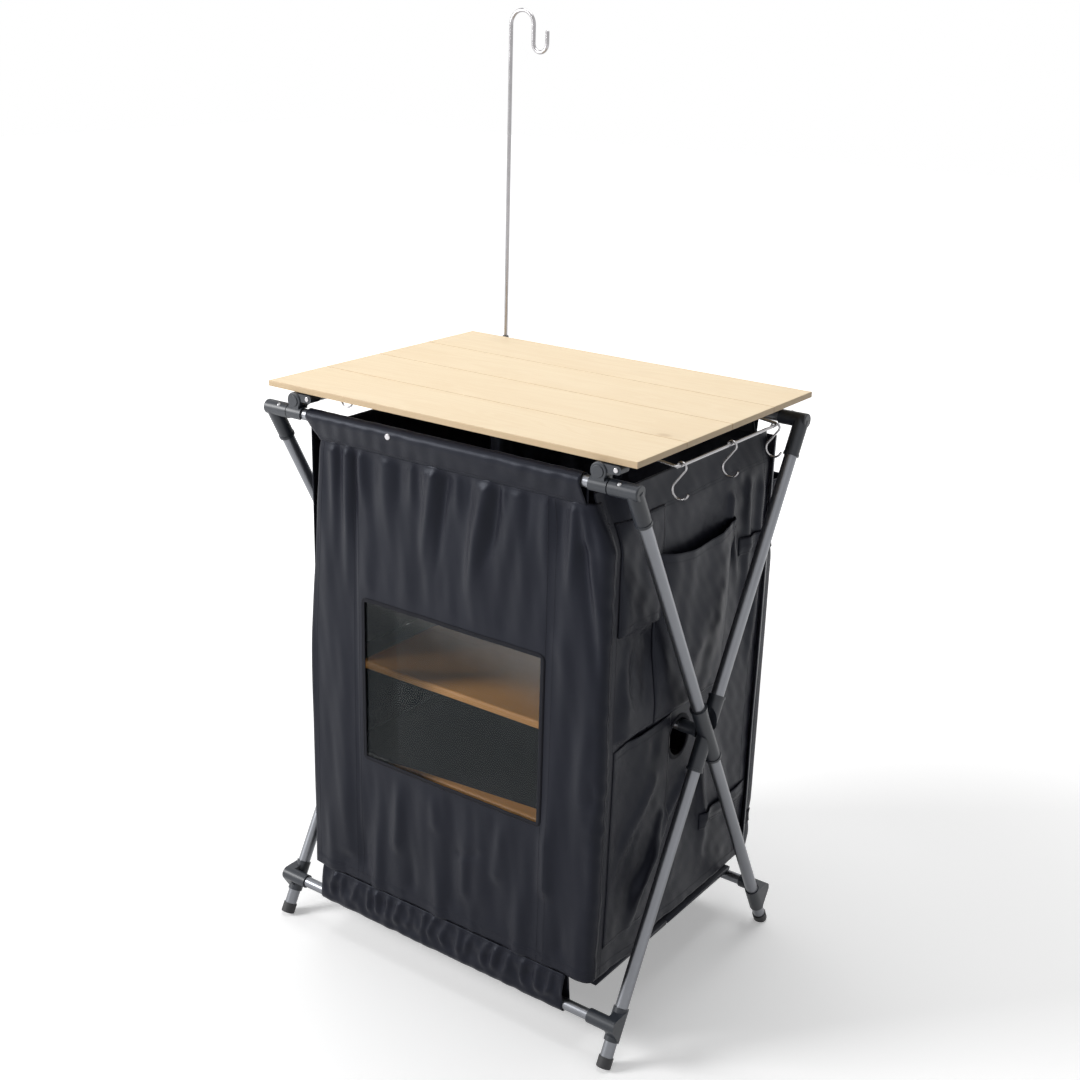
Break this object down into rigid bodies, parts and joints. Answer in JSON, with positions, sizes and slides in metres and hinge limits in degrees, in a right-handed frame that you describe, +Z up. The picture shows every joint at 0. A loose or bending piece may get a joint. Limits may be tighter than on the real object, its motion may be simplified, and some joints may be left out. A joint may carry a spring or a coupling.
{
  "type": "folding camping cupboard",
  "caption": "Folding camping cupboard: a slatted top on crossed tube legs, a cloth body with shelves, a window door and pockets, side rods with hooks, and a tall crook for a lantern.",
  "frame": {"origin": "on the floor under the middle of the crossed frame", "axes": "+Z up, +X to the right seen from the front, +Y to the back"},
  "size_m": [0.6292, 0.4774, 1.3399],
  "materials": {
    "tube": "satin grey anodised",
    "moulding": "fine satin moulded grain",
    "button": "bright",
    "foot": "matt",
    "wire": "polished wire",
    "cloth": "close plain weave with a slight sheen",
    "binding": "woven tape",
    "film": "clear vinyl film, slightly grey",
    "shelf": "thin laminated board",
    "top": "pale bamboo, clear matt lacquer",
    "cord": "elastic cord"
  },
  "bodies": {
    "centre": {"middle_bar": "tube", "hub_plugs": "moulding", "pivot_pins": "wire", "side_panel_right": "cloth", "side_panel_left": "cloth", "side_pockets": "cloth"},
    "frame_a": {"frame_a_top_bar": "tube", "frame_a_connectors": "moulding", "frame_a_legs": "tube", "frame_a_sleeves": "moulding", "frame_a_tees": "moulding", "frame_a_feet": "foot", "frame_a_bottom_bar": "tube", "rear_low_sleeve": "cloth"},
    "frame_b": {"frame_b_top_bar": "tube", "frame_b_connectors": "moulding", "frame_b_legs": "tube", "frame_b_sleeves": "moulding", "frame_b_tees": "moulding", "frame_b_feet": "foot", "frame_b_bottom_bar": "tube", "front_low_sleeve": "cloth"},
    "front_curtain": {"front_band": "cloth", "snap_stud": "wire"},
    "rear_curtain": {"rear_band": "cloth", "rear_panel": "cloth", "rear_pouch": "cloth", "pouch_straps": "binding"},
    "door": {"front_panel": "cloth", "window_binding": "binding", "window_film": "film"},
    "upper_half_front": {"upper_shelf_front": "shelf"},
    "upper_half_rear": {"upper_shelf_rear": "shelf"},
    "lower_half_front": {"lower_shelf_front": "shelf"},
    "lower_half_rear": {"lower_shelf_rear": "shelf"},
    "floor_half_front": {"floor_board_front": "shelf"},
    "floor_half_rear": {"floor_board_rear": "shelf"},
    "rack": {"rails": "tube", "rail_fittings": "moulding", "fitting_rivets": "wire", "rail_caps": "moulding", "hanging_rods": "wire", "pole_bracket": "moulding"},
    "tabletop": {"slat_2": "top", "slat_cords": "cord"},
    "top_slat_1": {"slat_1": "top"},
    "top_slat_3": {"slat_3": "top"},
    "top_slat_4": {"slat_4": "top"},
    "collar": {"pole_collar": "moulding"},
    "pole": {"lantern_pole": "wire"},
    "right_hook_1": {"hook_right_1": "wire"},
    "right_hook_2": {"hook_right_2": "wire"},
    "right_hook_3": {"hook_right_3": "wire"},
    "left_hook_1": {"hook_left_1": "wire"},
    "left_hook_2": {"hook_left_2": "wire"},
    "left_hook_3": {"hook_left_3": "wire"},
    "button_a_right": {"frame_a_button_right": "button"},
    "button_a_left": {"frame_a_button_left": "button"},
    "button_b_right": {"frame_b_button_right": "button"},
    "button_b_left": {"frame_b_button_left": "button"}
  },
  "joints": [
    {"name": "fold_frame_a", "type": "hinge", "parent": "centre", "child": "frame_a", "pos_m": [0, 0, 0.41432], "axis": [-1, 0, 0], "range_deg": [0, 11]},
    {"name": "fold_frame_b", "type": "hinge", "parent": "centre", "child": "frame_b", "pos_m": [0, 0, 0.41432], "axis": [1, 0, 0], "range_deg": [0, 11]},
    {"name": "front_curtain_hang", "type": "hinge", "parent": "frame_a", "child": "front_curtain", "pos_m": [0, -0.215, 0.812], "axis": [1, 0, 0], "range_deg": [0, 11]},
    {"name": "rear_curtain_hang", "type": "hinge", "parent": "frame_b", "child": "rear_curtain", "pos_m": [0, 0.215, 0.812], "axis": [-1, 0, 0], "range_deg": [0, 11]},
    {"name": "door_lift", "type": "hinge", "parent": "front_curtain", "child": "door", "pos_m": [0, -0.212, 0.7815], "axis": [-1, 0, 0], "range_deg": [0, 90]},
    {"name": "upper_front_crease", "type": "hinge", "parent": "centre", "child": "upper_half_front", "pos_m": [0, 0, 0.43462], "axis": [-1, 0, 0], "range_deg": [0, 40.01]},
    {"name": "upper_rear_crease", "type": "hinge", "parent": "centre", "child": "upper_half_rear", "pos_m": [0, 0, 0.43462], "axis": [1, 0, 0], "range_deg": [0, 40.01]},
    {"name": "lower_front_crease", "type": "hinge", "parent": "centre", "child": "lower_half_front", "pos_m": [0, 0, 0.286], "axis": [-1, 0, 0], "range_deg": [0, 40.01]},
    {"name": "lower_rear_crease", "type": "hinge", "parent": "centre", "child": "lower_half_rear", "pos_m": [0, 0, 0.286], "axis": [1, 0, 0], "range_deg": [0, 40.01]},
    {"name": "floor_front_crease", "type": "hinge", "parent": "centre", "child": "floor_half_front", "pos_m": [0, 0, 0.098], "axis": [-1, 0, 0], "range_deg": [0, 55.01]},
    {"name": "floor_rear_crease", "type": "hinge", "parent": "centre", "child": "floor_half_rear", "pos_m": [0, 0, 0.098], "axis": [1, 0, 0], "range_deg": [0, 55.01]},
    {"name": "rack_lift", "type": "slide", "parent": "centre", "child": "rack", "axis": [0, 0, 1], "range_m": [0, 0.0855]},
    {"name": "top_lift", "type": "slide", "parent": "rack", "child": "tabletop", "axis": [0, 0, 1], "range_m": [0, 0.1]},
    {"name": "slat_1_fold", "type": "hinge", "parent": "tabletop", "child": "top_slat_1", "pos_m": [0, -0.10575, 0.85], "axis": [-1, 0, 0], "range_deg": [0, 90], "deforming": ["slat_cords"]},
    {"name": "slat_3_fold", "type": "hinge", "parent": "tabletop", "child": "top_slat_3", "pos_m": [0, 0.007, 0.85], "axis": [1, 0, 0], "range_deg": [0, 90], "deforming": ["slat_cords"]},
    {"name": "slat_4_fold", "type": "hinge", "parent": "top_slat_3", "child": "top_slat_4", "pos_m": [0, 0.11975, 0.85], "axis": [1, 0, 0], "range_deg": [0, 90], "deforming": ["slat_cords"]},
    {"name": "hook_right_1_swing", "type": "hinge", "parent": "rack", "child": "right_hook_1", "pos_m": [0.302, -0.119, 0.824], "axis": [0, 1, 0], "range_deg": [-40, 20]},
    {"name": "hook_right_2_swing", "type": "hinge", "parent": "rack", "child": "right_hook_2", "pos_m": [0.302, 0.0055, 0.824], "axis": [0, 1, 0], "range_deg": [-40, 20]},
    {"name": "hook_right_3_swing", "type": "hinge", "parent": "rack", "child": "right_hook_3", "pos_m": [0.302, 0.124, 0.824], "axis": [0, 1, 0], "range_deg": [-40, 20]},
    {"name": "hook_left_1_swing", "type": "hinge", "parent": "rack", "child": "left_hook_1", "pos_m": [-0.302, -0.061, 0.824], "axis": [0, 1, 0], "range_deg": [-20, 40]},
    {"name": "hook_left_2_swing", "type": "hinge", "parent": "rack", "child": "left_hook_2", "pos_m": [-0.302, 0.004, 0.824], "axis": [0, 1, 0], "range_deg": [-20, 40]},
    {"name": "hook_left_3_swing", "type": "hinge", "parent": "rack", "child": "left_hook_3", "pos_m": [-0.302, 0.11, 0.824], "axis": [0, 1, 0], "range_deg": [-20, 40]},
    {"name": "pole_turn", "type": "hinge", "parent": "rack", "child": "collar", "pos_m": [-0.239, 0.2395, 0.84], "axis": [0, 0, 1], "continuous": true},
    {"name": "pole_lift", "type": "slide", "parent": "collar", "child": "pole", "axis": [0, 0, 1], "range_m": [0, 0.03]},
    {"name": "button_a_right_press", "type": "slide", "parent": "frame_a", "child": "button_a_right", "axis": [0, 0.6157, -0.788], "range_m": [0, 0.0024], "stiffness_N_per_m": 600},
    {"name": "button_a_left_press", "type": "slide", "parent": "frame_a", "child": "button_a_left", "axis": [0, 0.6157, -0.788], "range_m": [0, 0.0024], "stiffness_N_per_m": 600},
    {"name": "button_b_right_press", "type": "slide", "parent": "frame_b", "child": "button_b_right", "axis": [0, -0.6157, -0.788], "range_m": [0, 0.0024], "stiffness_N_per_m": 600},
    {"name": "button_b_left_press", "type": "slide", "parent": "frame_b", "child": "button_b_left", "axis": [0, -0.6157, -0.788], "range_m": [0, 0.0024], "stiffness_N_per_m": 600}
  ],
  "couplings": [
    {"joint": "fold_frame_b", "follows": "fold_frame_a", "ratio": 1},
    {"joint": "front_curtain_hang", "follows": "fold_frame_a", "ratio": 1},
    {"joint": "rear_curtain_hang", "follows": "fold_frame_a", "ratio": 1},
    {"joint": "upper_front_crease", "follows": "fold_frame_a", "ratio": 3.6364},
    {"joint": "upper_rear_crease", "follows": "fold_frame_a", "ratio": 3.6364},
    {"joint": "lower_front_crease", "follows": "fold_frame_a", "ratio": 3.6364},
    {"joint": "lower_rear_crease", "follows": "fold_frame_a", "ratio": 3.6364},
    {"joint": "floor_front_crease", "follows": "fold_frame_a", "ratio": 5},
    {"joint": "floor_rear_crease", "follows": "fold_frame_a", "ratio": 5},
    {"joint": "rack_lift", "follows": "fold_frame_a", "m_per_rad": 0.44274}
  ]
}
